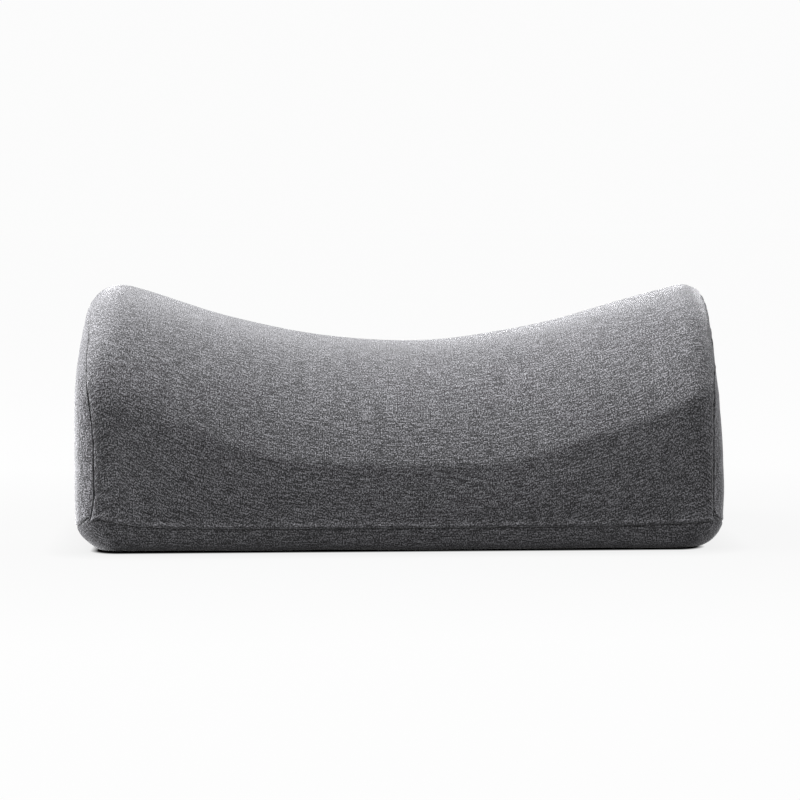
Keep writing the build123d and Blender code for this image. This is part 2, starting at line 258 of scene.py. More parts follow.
def waves(run, lengths, seed):
    """Irregular waves, about -1 to 1, with these wavelengths."""
    phases = np.random.default_rng(seed).uniform(0, 2 * np.pi, len(lengths))
    total = sum(np.sin(2 * np.pi * run / length + phase) for length, phase in zip(lengths, phases))
    return total / len(lengths)


# -------- grids and meshes


def graded(length):
    """Places from 0 to length, close together at both ends and even between."""
    steps = [FINE]
    while steps[-1] * GROWTH < COARSE:
        steps.append(steps[-1] * GROWTH)
    ramp = np.concatenate([[0], np.cumsum(steps)])
    middle = length - 2 * ramp[-1]
    count = max(2, round(middle / COARSE))
    inner = ramp[-1] + middle * np.arange(1, count) / count
    return np.concatenate([ramp, inner, length - ramp[::-1]])


def runs(grid, axis=0):
    """Distance run along a polyline, or along a grid of points in one direction."""
    steps = np.linalg.norm(np.diff(grid, axis=axis), axis=-1)
    start = np.zeros_like(np.take(steps, [0], axis=axis))
    return np.concatenate([start, np.cumsum(steps, axis=axis)], axis=axis)


def at_runs(line, places):
    """Points of a polyline at these distances along it."""
    run = runs(line)
    return np.stack([np.interp(places, run, line[:, k]) for k in range(3)], axis=1)


def resampled(line, places):
    """The same, with the places stretched to end where the line ends."""
    return at_runs(line, np.asarray(places) / places[-1] * runs(line)[-1])


def added(name, data):
    """A new object in the scene."""
    obj = bpy.data.objects.new(name, data)
    bpy.context.scene.collection.objects.link(obj)
    return obj


def dressed(obj, name, material, node):
    """Names a finished mesh, gives it its material and body, and lets it stand for a CAD node."""
    obj.name = name
    obj.data.name = name
    obj.data.materials.clear()
    obj.data.materials.append(material)
    obj.data.polygons.foreach_set("use_smooth", np.ones(len(obj.data.polygons), bool))
    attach(obj, "pillow")
    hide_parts(node)
    return obj


def mesh_object(name, points, faces, material, node, uv=None):
    """A piece made of points and faces, with its flat pattern as UV map."""
    mesh = bpy.data.meshes.new(name)
    mesh.from_pydata([tuple(p) for p in points], [], faces)
    mesh.update()
    if uv is not None:
        corners = np.zeros(len(mesh.loops), np.int32)
        mesh.loops.foreach_get("vertex_index", corners)
        layer = mesh.uv_layers.new(name="Cloth")
        layer.data.foreach_set("uv", np.asarray(uv, np.float32)[corners].ravel())
    return dressed(added(name, mesh), name, material, node)


def grid_faces(rows, columns, ring=False, start=0, flip=False):
    """Quads between rows of points, closed from the last column to the first if ring."""
    faces = []
    for r in range(rows - 1):
        for c in range(columns if ring else columns - 1):
            a = start + r * columns + c
            b = start + r * columns + (c + 1) % columns
            quad = (a, b, b + columns, a + columns)
            faces.append(quad[::-1] if flip else quad)
    return faces


def tube_faces(rings, sides, start=0):
    """Faces between the rings of a tube, and over its two ends."""
    stop = start + rings * sides
    faces = grid_faces(rings, sides, ring=True, start=start)
    return faces + [tuple(range(start, start + sides))[::-1], tuple(range(stop - sides, stop))]


def edge_walls(loop, count, flip=False):
    """Faces that join an edge loop of the outer points to the same loop of the inner points."""
    walls = [(b, a, a + count, b + count) for a, b in zip(loop, loop[1:])]
    return [w[::-1] for w in walls] if flip else walls


def open_grid_shell(outer, inner, flip=False):
    """Points and faces of a sheet between two equal grids."""
    rows, columns = outer.shape[:2]
    count = rows * columns
    faces = grid_faces(rows, columns, flip=flip)
    faces += grid_faces(rows, columns, start=count, flip=not flip)
    loop = list(range(columns))
    loop += [r * columns + columns - 1 for r in range(1, rows)]
    loop += [(rows - 1) * columns + c for c in range(columns - 2, -1, -1)]
    loop += [r * columns for r in range(rows - 2, -1, -1)]
    faces += edge_walls(loop, count, flip)
    return np.concatenate([outer.reshape(-1, 3), inner.reshape(-1, 3)]), faces


# -------- cover


def roll(distance):
    """Depth of a panel's surface this far from its edge: a quarter round."""
    inside = np.clip(SEAM_ROLL - distance, 0, SEAM_ROLL)
    return SEAM_ROLL - np.sqrt(SEAM_ROLL**2 - inside**2)


def pucker(run, distance, seed):
    """Gathering along a seam that dies out away from it."""
    wave = waves(run, (0.0085, 0.0063, 0.0121, 0.021, 0.037), seed)
    return 0.55 * MM * wave * np.exp(-distance / (5 * MM))


def unevenness(p):
    """Broad, shallow unevenness of cloth drawn over foam."""
    x, y, z = p[..., 0], p[..., 1], p[..., 2]
    broad = waves(0.8 * x + 0.6 * z, (0.083, 0.052, 0.121), 3)
    cross = waves(0.3 * x - z + 0.5 * y, (0.061, 0.097), 4)
    return 0.35 * MM * broad + 0.3 * MM * cross


def dress(grid, near_ends, near_sides, run_ends, run_sides, near_base, ridge, seed):
    """Outer and inner points of a panel, with rolled, gathered edges.

    near_ends and near_sides are distances from its edges, run_ends and run_sides those along
    them. Next to the base seam, near_base away, the cloth stands out in a ridge.
    """
    normal = outward(grid)
    away = np.minimum(near_ends, near_sides)
    relief = unevenness(grid) * smooth(0, 12 * MM, away)
    relief += swell_at(grid) * smooth(0, 6 * MM, away)
    relief += pucker(run_ends, near_ends, seed) * smooth(0, 2 * MM, near_sides)
    relief += pucker(run_sides, near_sides, seed + 1) * smooth(0, 2 * MM, near_ends)
    relief += 0.12 * MM * np.exp(-(((away - 1.8 * MM) / (1.2 * MM)) ** 2))
    relief += ridge * np.exp(-(((near_base - RIDGE_PLACE) / RIDGE_WIDTH) ** 2))
    flat_rear = smooth(0.078, 0.085, grid[..., 1]) * (1 - smooth(0.03, 0.05, grid[..., 2]))
    relief = relief * (1 - 0.8 * flat_rear)
    outer = grid + normal * (relief - roll(away))[..., None]
    inner = grid - normal * (COVER - 0.5 * relief)[..., None]
    outer[..., 2] = np.maximum(outer[..., 2], 0)
    return outer, inner


def wrap_grid():
    """Wrap panel: rows of points go over the pillow, from the front seam to the rear seam."""
    x_places = graded(2 * END_SEAM) - END_SEAM
    turn = np.linspace(math.radians(-30), math.radians(210), 900)
    direction = joined(0, -np.cos(turn), np.sin(turn))
    lines = []
    for x in x_places:
        line = cast(np.array([x, 0, HEART]), direction)
        front = base_seam_height(x, -HALF_DEPTH)
        rear = SEAM_HEIGHT + opening(x) * (ZIP_HEIGHT + OPENING_HALF - SEAM_HEIGHT)
        half = len(line) // 2
        first = int(np.argmax(line[:half, 2] > front))
        last = half + int(np.argmax(line[half:, 2] < rear))
        line = line[first - 1 : last + 1].copy()
        line[0] = line[0] + (line[1] - line[0]) * (front - line[0, 2]) / (line[1, 2] - line[0, 2])
        line[-1] = line[-2] + (line[-1] - line[-2]) * (rear - line[-2, 2]) / (line[-1, 2] - line[-2, 2])
        lines.append(line)
    v_places = graded(runs(lines[len(lines) // 2])[-1])
    grid = np.stack([resampled(line, v_places) for line in lines])
    for side in (-1, 1):
        near = smooth(0.11, END_SEAM, side * grid[..., 0])
        grid[..., 0] += side * end_seam_drift(side, grid[..., 2]) * near
    return cast_section(grid)


def coons(bottom, top, left, right):
    """Grid between four edge lines; bottom and top run the same way, left and right go up."""
    s = (np.arange(len(bottom)) / (len(bottom) - 1))[None, :, None]
    t = (np.arange(len(left)) / (len(left) - 1))[:, None, None]
    between = (1 - t) * bottom[None] + t * top[None] + (1 - s) * left[:, None] + s * right[:, None]
    corners = (1 - t) * ((1 - s) * bottom[0] + s * bottom[-1]) + t * ((1 - s) * top[0] + s * top[-1])
    return between - corners


def end_grid(side, edge):
    """End panel: rows of points go from the front to the rear, starting at the base seam.

    edge is the wrap panel's edge, from the front base seam over the top to the rear one.
    """
    total = runs(edge)[-1]
    up_places = graded(END_RISE)
    across_places = graded(total - 2 * END_RISE)
    left = at_runs(edge, up_places)
    right = at_runs(edge, total - up_places)
    top = at_runs(edge, END_RISE + across_places)
    heart_x = side * SPINE
    start = math.atan2(left[0, 1], side * (left[0, 0] - heart_x))
    stop = math.atan2(right[0, 1], side * (right[0, 0] - heart_x))
    turn = np.linspace(start, stop, 500)
    floor = cast(joined(heart_x, 0, SEAM_HEIGHT), joined(side * np.cos(turn), np.sin(turn), 0))
    floor[:, 2] = base_seam_height(floor[:, 0], floor[:, 1])
    floor = cast_level(floor)
    floor[0], floor[-1] = left[0], right[0]
    bottom = resampled(floor, across_places)
    grid = onto_form(coons(bottom, top, left, right))
    grid[0], grid[-1], grid[:, 0], grid[:, -1] = bottom, top, left, right
    return grid


def panel(name, grid, seed, flip, node, base_edges):
    """A cover panel with four edges, made from its grid."""
    u, v = runs(grid, 0), runs(grid, 1)
    near_u = np.minimum(u, u[-1:] - u)
    near_v = np.minimum(v, v[:, -1:] - v)
    near_base = near_v if base_edges == "sides" else u
    ridge = SEAM_RIDGE if base_edges == "sides" else END_RIDGE
    outer, inner = dress(grid, near_u, near_v, v, u, near_base, ridge, seed)
    points, faces = open_grid_shell(outer, inner, flip)
    middle_u = u[len(u) // 2][None, :]
    middle_v = v[:, v.shape[1] // 2][:, None]
    flat = joined(u - middle_u, v - middle_v).reshape(-1, 2)
    return mesh_object(name, points, faces, knit, node, np.concatenate([flat, flat]))


def base_rim():
    """Upper edge of the base panel: even points right round the pillow."""
    rear = wrap[::-1, -1].copy()
    rear[:, 2] = SEAM_HEIGHT + opening(rear[:, 0]) * (ZIP_HEIGHT - OPENING_HALF - SEAM_HEIGHT)
    rim = np.concatenate([wrap[:-1, 0], right_end[0, :-1], rear[:-1], left_end[0, :0:-1]])
    rim = np.concatenate([rim, rim[:1]])
    count = round(runs(rim)[-1] / COARSE)
    rim = at_runs(rim, np.arange(count) / count * runs(rim)[-1])
    return cast_level(rim)


def even_fill(ring):
    """Even points inside a ring, and the triangles between the ring's points and those."""
    count = len(ring)
    xs = np.arange(-FILL_HALF_LENGTH, FILL_HALF_LENGTH + FILL_SLACK, FILL_STEP)
    ys = np.arange(-FILL_HALF_DEPTH, FILL_HALF_DEPTH + FILL_SLACK, FILL_STEP)
    lattice = np.array([(x, y) for x in xs for y in ys])
    inside = np.array([p for p in lattice if inside_by(p, ring, FILL_MARGIN)])
    edges = [(i, (i + 1) % count) for i in range(count)]
    corners = [Vector(p) for p in np.concatenate([ring, inside])]
    made = geometry.delaunay_2d_cdt(corners, edges, [], 1, 1e-6)
    assert len(made[0]) == len(corners)
    return inside, [tuple(face) for face in made[2]]


def base_panel():
    """Base panel: rings of points from its rim down and under, then an even fill."""
    count = len(rim)
    spine = joined(np.clip(rim[:, 0], -SPINE, SPINE), 0)
    level = rim[:, :2] - spine
    reach = np.linalg.norm(level, axis=1)
    level = level / reach[:, None]
    edge = base_edge(rim[:, 0])
    first = np.arcsin(np.clip((edge - rim[:, 2]) / edge, 0, 1))
    straight = np.maximum(rim[:, 2] - edge, 0)
    wall = reach + edge * (1 - np.cos(first))
    bend = edge * (np.pi / 2 - first)
    total = straight + bend + UNDER_RINGS
    places = graded(2 * float(np.median(total)))
    shares = places[: len(places) // 2 + 1] / places[len(places) // 2]
    rings, flats, deep = [], [], []
    for share in shares:
        run = total * share
        turn = first + np.clip(run - straight, 0, bend) / edge
        under = np.maximum(run - straight - bend, 0)
        out = wall - edge * (1 - np.cos(turn)) - under
        z = np.where(run < straight, rim[:, 2] - run, edge * (1 - np.sin(turn)))
        ring = np.column_stack([spine + level * out[:, None], z])
        rings.append(ring)
        flats.append(spine + level * (wall - edge + straight + bend - run)[:, None])
        deep.append(run)
    grid = onto_form(np.stack(rings))
    near = np.stack(deep)
    run_round = np.broadcast_to(np.arange(count) * COARSE, near.shape)
    far_from_ends = np.full_like(near, 1.0)  # a ring has no ends
    outer, inner = dress(grid, far_from_ends, near, 0 * near, run_round, far_from_ends, 0.0, 31)
    extra, triangles = even_fill(outer[-1, :, :2])
    outer_points = np.concatenate([outer.reshape(-1, 3), joined(*extra.T, 0)])
    inner_points = np.concatenate([inner.reshape(-1, 3), joined(*extra.T, COVER)])
    flat = np.concatenate([np.stack(flats).reshape(-1, 2), extra])
    half = len(outer_points)
    ring_start = (len(rings) - 1) * count
    faces = grid_faces(len(rings), count, ring=True, flip=True)
    faces += grid_faces(len(rings), count, ring=True, start=half)
    for triangle in triangles:
        corners = [ring_start + i for i in triangle]
        faces.append(tuple(corners[::-1]))
        faces.append(tuple(c + half for c in corners))
    faces += edge_walls(list(range(count)) + [0], half, flip=True)
    points = np.concatenate([outer_points, inner_points])
    flat = np.concatenate([flat, flat])
    return mesh_object("base_panel_knit", points, faces, knit_base, "cover_base_panel", flat)


def inside_by(point, ring, margin):
    """True if a point lies inside a ring of points and at least margin from each."""
    if np.min(np.linalg.norm(ring - point, axis=1)) < margin:
        return False
    following = np.roll(ring, -1, axis=0)
    crosses = (ring[:, 1] > point[1]) != (following[:, 1] > point[1])
    rise = np.where(crosses, following[:, 1] - ring[:, 1], 1)
    at = ring[:, 0] + (point[1] - ring[:, 1]) * (following[:, 0] - ring[:, 0]) / rise
    return int(np.sum(crosses & (point[0] < at))) % 2 == 1


wrap = wrap_grid()
left_end = end_grid(-1, wrap[0])
right_end = end_grid(1, wrap[-1])
rim = base_rim()

# -------- cloth simulation

CLOTH_VOXEL = 5.5 * MM  # mesh step of the simulated cover
CLOTH_PRESSURE = 8
CLOTH_FRAMES = 20
CLOTH_START = 0.2 * MM  # depth below the form at which the simulated cover starts
CLOTH_CAP = 0.7 * MM  # furthest that a point of it may move
HELD_WITHIN = 4 * MM  # cloth this near to a seam is held by it
NEIGHBOURS = 12  # simulated points that a point of a panel follows
HEART_REACH = 110 * MM  # half length of the line that the body's rays leave
BODY_AROUND = 180  # rays round each section
BODY_ALONG = 90  # sections along the line
BODY_FAN = 40  # sections that fan out at each end of it
FAN_TILT = math.radians(89)


def corner_points(mesh):
    """A mesh's vertices as an array."""
    places = np.zeros(len(mesh.vertices) * 3)
    mesh.vertices.foreach_get("co", places)
    return places.reshape(-1, 3)


def apply_modifiers(obj):
    """Replaces an object's mesh with what its modifiers make of it."""
    depsgraph = bpy.context.evaluated_depsgraph_get()
    made = bpy.data.meshes.new_from_object(obj.evaluated_get(depsgraph))
    obj.modifiers.clear()
    obj.data = made
    return obj


def evened(obj, voxel):
    """Rebuilds an object's mesh with even faces of about this size."""
    remesh = obj.modifiers.new("even", "REMESH")
    remesh.mode = "VOXEL"
    remesh.voxel_size = voxel
    return apply_modifiers(obj)


def body_under(depth, voxel):
    """A closed, even mesh of the pillow's form at a depth below the cover's surface.

    Rays leave a line along the pillow's heart, level with each section, and fan out at its two ends.
    """
    turn = np.linspace(0, 2 * np.pi, BODY_AROUND, endpoint=False)
    fan = np.linspace(0, FAN_TILT, BODY_FAN)
    stations = np.linspace(-HEART_REACH, HEART_REACH, BODY_ALONG)
    tilt = np.concatenate([-fan[:0:-1], 0 * stations, fan[1:]])
    ends = np.full(BODY_FAN - 1, HEART_REACH)
    heart_x = np.concatenate([-ends, stations, ends])
    tilt, turn = np.meshgrid(tilt, turn, indexing="ij")
    direction = joined(np.sin(tilt), np.cos(tilt) * np.cos(turn), np.cos(tilt) * np.sin(turn))
    rings = cast(joined(heart_x[:, None], 0, HEART), direction)
    rings = rings - outward(rings) * depth
    mesh = bpy.data.meshes.new("body")
    mesh.from_pydata([tuple(p) for p in rings.reshape(-1, 3)], [], tube_faces(*tilt.shape))
    return evened(added("body", mesh), voxel)


def tree_of(points):
    """A search tree over an array of points."""
    tree = KDTree(len(points))
    for i, point in enumerate(points):
        tree.insert(point, i)
    tree.balance()
    return tree


def swollen():
    """Blows the cover up between its seams: the points it starts from, and how far out each goes."""
    body = body_under(CLOTH_START, CLOTH_VOXEL)
    start = corner_points(body.data)
    seams = tree_of(np.concatenate([wrap[0], wrap[-1], rim]))
    sewn = [seams.find(point)[2] < HELD_WITHIN for point in start]
    held = [i for i, is_sewn in enumerate(sewn) if is_sewn or start[i, 2] < SEAM_HEIGHT]
    body.vertex_groups.new(name="held").add(held, 1.0, "REPLACE")
    cloth = body.modifiers.new("cloth", "CLOTH")
    cloth.settings.use_pressure = True
    cloth.settings.uniform_pressure_force = CLOTH_PRESSURE
    cloth.settings.effector_weights.gravity = 0
    cloth.settings.vertex_group_mass = "held"
    for step in range(1, CLOTH_FRAMES + 1):
        bpy.context.scene.frame_set(step)
    apply_modifiers(body)
    bpy.context.scene.frame_set(1)
    moved = np.sum((corner_points(body.data) - start) * outward(start), axis=1)
    bpy.data.objects.remove(body)
    return start, np.clip(moved, -CLOTH_CAP, CLOTH_CAP)


def swell_at(points):
    """How far the simulated cloth stands off the form at these points, averaged over its mesh."""
    flat = points.reshape(-1, 3)
    swell = np.zeros(len(flat))
    for i, point in enumerate(flat):
        near = cloth_tree.find_n(point, NEIGHBOURS)
        weights = np.exp(-np.array([(n[2] / CLOTH_VOXEL) ** 2 for n in near]))
        swell[i] = weights @ cloth_moved[[n[1] for n in near]] / weights.sum()
    return swell.reshape(points.shape[:-1])


cloth_start, cloth_moved = swollen()
cloth_tree = tree_of(cloth_start)

# -------- materials


class Shader:
    """A material's node tree, with short calls to add and join nodes."""

    def __init__(self, name):
        self.material = bpy.data.materials.new(name)
        self.material.use_nodes = True
        self.tree = self.material.node_tree
        self.surface = self.tree.nodes["Principled BSDF"]

    def add(self, kind, settings=None, **inputs):
        """A new node, with its settings and inputs by name."""
        node = self.tree.nodes.new("ShaderNode" + kind)
        for key, value in (settings or {}).items():
            setattr(node, key, value)
        for key, value in inputs.items():
            self.put(node.inputs[key], value)
        return node

    def put(self, socket, value):
        """Links another node's output to a socket, or sets the socket's own value."""
        if isinstance(value, bpy.types.NodeSocket):
            self.tree.links.new(value, socket)
        else:
            socket.default_value = value

    def math(self, operation, a, b=0.0):
        """One operation on one or two values."""
        node = self.add("Math", {"operation": operation})
        self.put(node.inputs[0], a)
        self.put(node.inputs[1], b)
        return node.outputs[0]

    def cloth(self, across=1.0, up=1.0):
        """The flat pattern's coordinates, scaled."""
        uv = self.add("UVMap", {"uv_map": "Cloth"}).outputs[0]
        return self.add("Mapping", Vector=uv, Scale=(across, up, 1.0)).outputs[0]

    def place(self, scale=1.0):
        """The object's own coordinates, scaled."""
        where = self.add("TexCoord").outputs["Object"]
        return self.add("Mapping", Vector=where, Scale=(scale, scale, scale)).outputs[0]

    def noise(self, vector, detail=2.0, roughness=0.5):
        """Smooth noise, with features one unit long."""
        settings = {"Vector": vector, "Scale": 1.0, "Detail": detail, "Roughness": roughness}
        return self.add("TexNoise", **settings).outputs[0]

    def ramp(self, factor, *stops):
        """Colours by place along the factor; a lone number is a grey."""
        node = self.add("ValToRGB", Fac=factor)
        ramp = node.color_ramp
        while len(ramp.elements) < len(stops):
            ramp.elements.new(0.5)
        for element, (position, colour) in zip(ramp.elements, stops):
            element.position = position
            element.color = (*colour, 1.0) if isinstance(colour, tuple) else (colour, colour, colour, 1.0)
        return node.outputs[0]

    def bump(self, height, distance, strength=1.0):
        """A surface normal from a height."""
        return self.add("Bump", Strength=strength, Distance=distance, Height=height).outputs[0]

    def finish(self, **inputs):
        """Sets the surface's inputs and gives the material."""
        for key, value in inputs.items():
            self.put(self.surface.inputs[key.replace("_", " ")], value)
        return self.material


def grey(value, cool=0.02):
    """A grey that leans a little towards blue."""
    return (value * (1 - cool), value * (1 - cool * 1.3), value * (1 + cool * 2))


LOOP_WIDTH = 0.95 * MM  # one stitch of the cover's knit
LOOP_HEIGHT = 0.75 * MM
GRAIN_SCALE = (1450, 1350)  # speckle of single fibres, cycles per metre across and up
STREAK_SCALE = (150, 1250)  # streaks along the rows of stitches
CLOUD_SCALE = (60, 90)  # broad, faint mottling
GRAIN_SHARE, STREAK_SHARE, YARN_SHARE, CLOUD_SHARE = 0.66, 0.27, 0.07, 0.03
KNIT_RELIEF = 0.075 * MM


def melange_knit(name, dark, light, sheen):
    """Jersey knit of dark and light fibres: streaky grain, loops, and a fuzzy surface."""
    s = Shader(name)
    grain = s.noise(s.cloth(*GRAIN_SCALE), 1.5, 0.6)
    streak = s.noise(s.cloth(*STREAK_SCALE), 1.5, 0.6)
    cloud = s.noise(s.cloth(*CLOUD_SCALE))
    loops = s.cloth(1 / LOOP_WIDTH, 1 / LOOP_HEIGHT)
    parts = s.add("SeparateXYZ", Vector=loops)
    across, up = parts.outputs[0], parts.outputs[1]
    leg = s.math("ABSOLUTE", s.math("SUBTRACT", s.math("FRACT", across), 0.5))
    row = s.math("FLOOR", s.math("ADD", up, leg))
    column = s.math("FLOOR", s.math("MULTIPLY", across, 2.0))
    which = s.add("CombineXYZ", X=column, Y=row).outputs[0]
    yarn = s.add("TexWhiteNoise", {"noise_dimensions": "2D"}, Vector=which).outputs["Value"]
    mixed = s.math("ADD", s.math("MULTIPLY", grain, GRAIN_SHARE), s.math("MULTIPLY", streak, STREAK_SHARE))
    mixed = s.math("ADD", mixed, s.math("MULTIPLY", yarn, YARN_SHARE))
    mixed = s.math("ADD", mixed, s.math("MULTIPLY", s.math("SUBTRACT", cloud, 0.5), CLOUD_SHARE))
    middle = tuple((a * b) ** 0.5 for a, b in zip(dark, light))
    colour = s.ramp(mixed, (0.39, dark), (0.5, middle), (0.61, light))
    wale = s.math("SINE", s.math("MULTIPLY", s.math("FRACT", across), math.pi))
    course = s.math("SINE", s.math("MULTIPLY", s.math("ADD", up, leg), 2 * math.pi))
    height = s.math("ADD", wale, s.math("MULTIPLY", course, 0.5))
    height = s.math("ADD", height, s.math("MULTIPLY", grain, 1.6))
    return s.finish(
        Base_Color=colour,
        Roughness=s.ramp(grain, (0.3, 0.98), (0.7, 0.86)),
        Specular_IOR_Level=0.15,
        Sheen_Weight=sheen,
        Sheen_Roughness=0.3,
        Sheen_Tint=(0.93, 0.93, 0.96, 1.0),
        Normal=s.bump(height, KNIT_RELIEF, 0.8),
    )


def plain_thread(name, colour):
    """Sewing thread, twisted on the slant."""
    s = Shader(name)
    twist = s.add("TexWave", {"bands_direction": "DIAGONAL"}, Vector=s.place(900), Scale=1.0)
    tone = s.noise(s.place(700))
    return s.finish(
        Base_Color=s.ramp(tone, (0.3, tuple(c * 0.6 for c in colour)), (0.7, tuple(c * 1.4 for c in colour))),
        Roughness=s.ramp(tone, (0.3, 0.7), (0.7, 0.5)),
        Normal=s.bump(twist.outputs["Fac"], 0.08 * MM),
    )


def metal(name):
    """Dark plated zinc, rubbed bright in places."""
    s = Shader(name)
    worn = s.noise(s.place(420), 4.0, 0.6)
    fine = s.noise(s.place(2400), 2.0)
    return s.finish(
        Base_Color=s.ramp(worn, (0.36, (0.17, 0.17, 0.175)), (0.68, (0.29, 0.29, 0.3))),
        Metallic=1.0,
        Roughness=s.ramp(worn, (0.4, 0.38), (0.65, 0.3)),
        Normal=s.bump(fine, 0.02 * MM, 0.5),
    )


def foam(name, colour):
    """Open-cell foam: fine pores and faint mottling."""
    s = Shader(name)
    cells = s.add("TexVoronoi", Vector=s.place(900), Scale=1.0).outputs["Distance"]
    mottle = s.noise(s.place(60), 4.0, 0.6)
    dark = tuple(c * 0.82 for c in colour)
    return s.finish(
        Base_Color=s.ramp(mottle, (0.35, dark), (0.65, colour)),
        Roughness=s.ramp(cells, (0.1, 0.95), (0.6, 0.8)),
        Specular_IOR_Level=0.2,
        Normal=s.bump(cells, 0.35 * MM, 0.7),
    )


def jersey(name, colour):
    """Thin liner jersey with fine vertical ribs."""
    s = Shader(name)
    ribs = s.add("TexWave", {"bands_direction": "X"}, Vector=s.place(500), Scale=1.0).outputs["Fac"]
    tone = s.noise(s.place(800), 3.0, 0.6)
    dark = tuple(c * 0.85 for c in colour)
    return s.finish(
        Base_Color=s.ramp(tone, (0.35, dark), (0.65, colour)),
        Roughness=s.ramp(tone, (0.3, 0.95), (0.7, 0.82)),
        Specular_IOR_Level=0.2,
        Sheen_Weight=0.15,
        Normal=s.bump(s.math("ADD", ribs, tone), 0.12 * MM, 0.7),
    )


def woven(name, dark, light, across, along, gloss):
    """Narrow woven tape: threads crossing each other."""
    s = Shader(name)
    parts = s.add("SeparateXYZ", Vector=s.cloth(math.pi / across, math.pi / along))
    warp = s.math("ABSOLUTE", s.math("SINE", parts.outputs[1]))
    weft = s.math("ABSOLUTE", s.math("SINE", s.math("ADD", parts.outputs[0], parts.outputs[1])))
    weave = s.math("MULTIPLY", s.math("ADD", warp, weft), 0.5)
    tone = s.noise(s.cloth(900, 900), 3.0, 0.6)
    shade = s.math("ADD", s.math("MULTIPLY", weave, 0.6), s.math("MULTIPLY", tone, 0.4))
    return s.finish(
        Base_Color=s.ramp(shade, (0.3, dark), (0.75, light)),
        Roughness=s.ramp(tone, (0.3, gloss + 0.1), (0.7, gloss - 0.1)),
        Specular_IOR_Level=0.35,
        Normal=s.bump(weave, 0.1 * MM, 0.8),
    )


def nylon(name, colour):
    """Zip coil monofilament, faintly translucent and scuffed."""
    s = Shader(name)
    scuff = s.noise(s.place(900), 4.0, 0.6)
    pale = tuple(c * 1.7 for c in colour)
    return s.finish(
        Base_Color=s.ramp(scuff, (0.4, colour), (0.7, pale)),
        Roughness=s.ramp(scuff, (0.35, 0.28), (0.7, 0.5)),
        Coat_Weight=0.15,
    )


knit = melange_knit("cover knit", grey(0.0060), grey(0.124), 0.42)
knit_base = melange_knit("base knit", grey(0.006), grey(0.105), 0.32)
# Near-black seam thread: real stitches, and painted shade of the seam creases they sit in
seam_thread_and_crease_shade = plain_thread("seam thread", grey(0.008))
thread_top = plain_thread("topstitch thread", grey(0.06))
core_foam = foam("core foam", (0.52, 0.5, 0.44))
soft_foam = foam("comfort foam", (0.78, 0.77, 0.72))
liner_cloth = jersey("liner jersey", (0.72, 0.72, 0.7))
tape_cloth = woven("zip tape", grey(0.012), grey(0.06), 0.5 * MM, 0.35 * MM, 0.7)
label_cloth = woven("label satin", (0.62, 0.62, 0.6), (0.8, 0.8, 0.78), 0.25 * MM, 0.12 * MM, 0.4)
coil_nylon = nylon("zip coil", grey(0.02))
slider_metal = metal("zip metal")

# -------- cover pieces

wrap_cloth = panel("wrap_knit", wrap, 11, True, "cover_wrap_panel", "sides")
left_cloth = panel("end_knit_left", left_end, 15, False, "cover_end_left", "bottom")
right_cloth = panel("end_knit_right", right_end, 21, True, "cover_end_right", "bottom")
base_cloth = base_panel()

# -------- foam and liner

LINER_DEPTH = 3.0 * MM  # below the cover's surface
FOAM_DEPTH = 3.8 * MM
FILLING_VOXEL = 3 * MM
REAR_RELIEF = 1.8 * MM  # the filling keeps this much further clear of the zip
LINER_THICK = 0.5 * MM
LINER_SEAM = 148 * MM
LINER_GAP = 0.1 * MM  # between the liner's panels and their seam's plane
CORE_HEIGHT = 38 * MM  # top of the firm core under the middle of the pillow
CELL_RELIEF = 0.12 * MM
FOAM_VOXEL = 2.6 * MM
ZONE_HALF_LENGTH = 170 * MM
ZONE_HALF_DEPTH = 120 * MM
ZONE_BOTTOM = -50 * MM


def core_zone():
    """A block whose top is the interface between firm core and comfort layer."""
    rise = saddle(np.array([0.0]))[0]
    xs = np.linspace(-ZONE_HALF_LENGTH, ZONE_HALF_LENGTH, 81)
    top = CORE_HEIGHT + saddle(xs) - rise
    outline = list(zip(xs, top))
    outline += [(ZONE_HALF_LENGTH, ZONE_BOTTOM), (-ZONE_HALF_LENGTH, ZONE_BOTTOM)]
    points = [(x, y, z) for y in (-ZONE_HALF_DEPTH, ZONE_HALF_DEPTH) for x, z in outline]
    count = len(outline)
    faces = [tuple(range(count - 1, -1, -1)), tuple(range(count, 2 * count))]
    faces += [(i, (i + 1) % count, (i + 1) % count + count, i + count) for i in range(count)]
    mesh = bpy.data.meshes.new("zone")
    mesh.from_pydata(points, [], faces)
    return added("zone", mesh)


def foam_piece(source, zone, operation, name, material, node):
    """One foam piece cut from the whole body, with softened cut edges and a faintly pored skin."""
    obj = added(name, source.data.copy())
    cut = obj.modifiers.new("cut", "BOOLEAN")
    cut.operation = operation
    cut.object = zone
    cut.solver = "EXACT"
    evened(apply_modifiers(obj), FOAM_VOXEL)
    mesh = obj.data
    count = len(mesh.vertices)
    normals = np.zeros(count * 3)
    mesh.vertices.foreach_get("normal", normals)
    pores = np.random.default_rng(5).uniform(-1, 0, count)
    places = corner_points(mesh) + normals.reshape(-1, 3) * pores[:, None] * CELL_RELIEF
    mesh.vertices.foreach_set("co", places.ravel())
    dressed(obj, name, material, node)
    return obj


def liner_piece(source, low_x, high_x, name, node):
    """The part of the liner between two planes across the pillow, or on one side of one."""
    made = bmesh.new()
    made.from_mesh(source.data)
    for x, is_high in ((low_x, False), (high_x, True)):
        if x is None:
            continue
        bmesh.ops.bisect_plane(
            made,
            geom=made.verts[:] + made.edges[:] + made.faces[:],
            plane_co=(x, 0, 0),
            plane_no=(1, 0, 0),
            clear_inner=not is_high,
            clear_outer=is_high,
        )
    mesh = bpy.data.meshes.new(name)
    made.to_mesh(mesh)
    made.free()
    obj = added(name, mesh)
    thick = obj.modifiers.new("thick", "SOLIDIFY")
    thick.thickness = LINER_THICK
    thick.offset = -1
    return dressed(apply_modifiers(obj), name, liner_cloth, node)


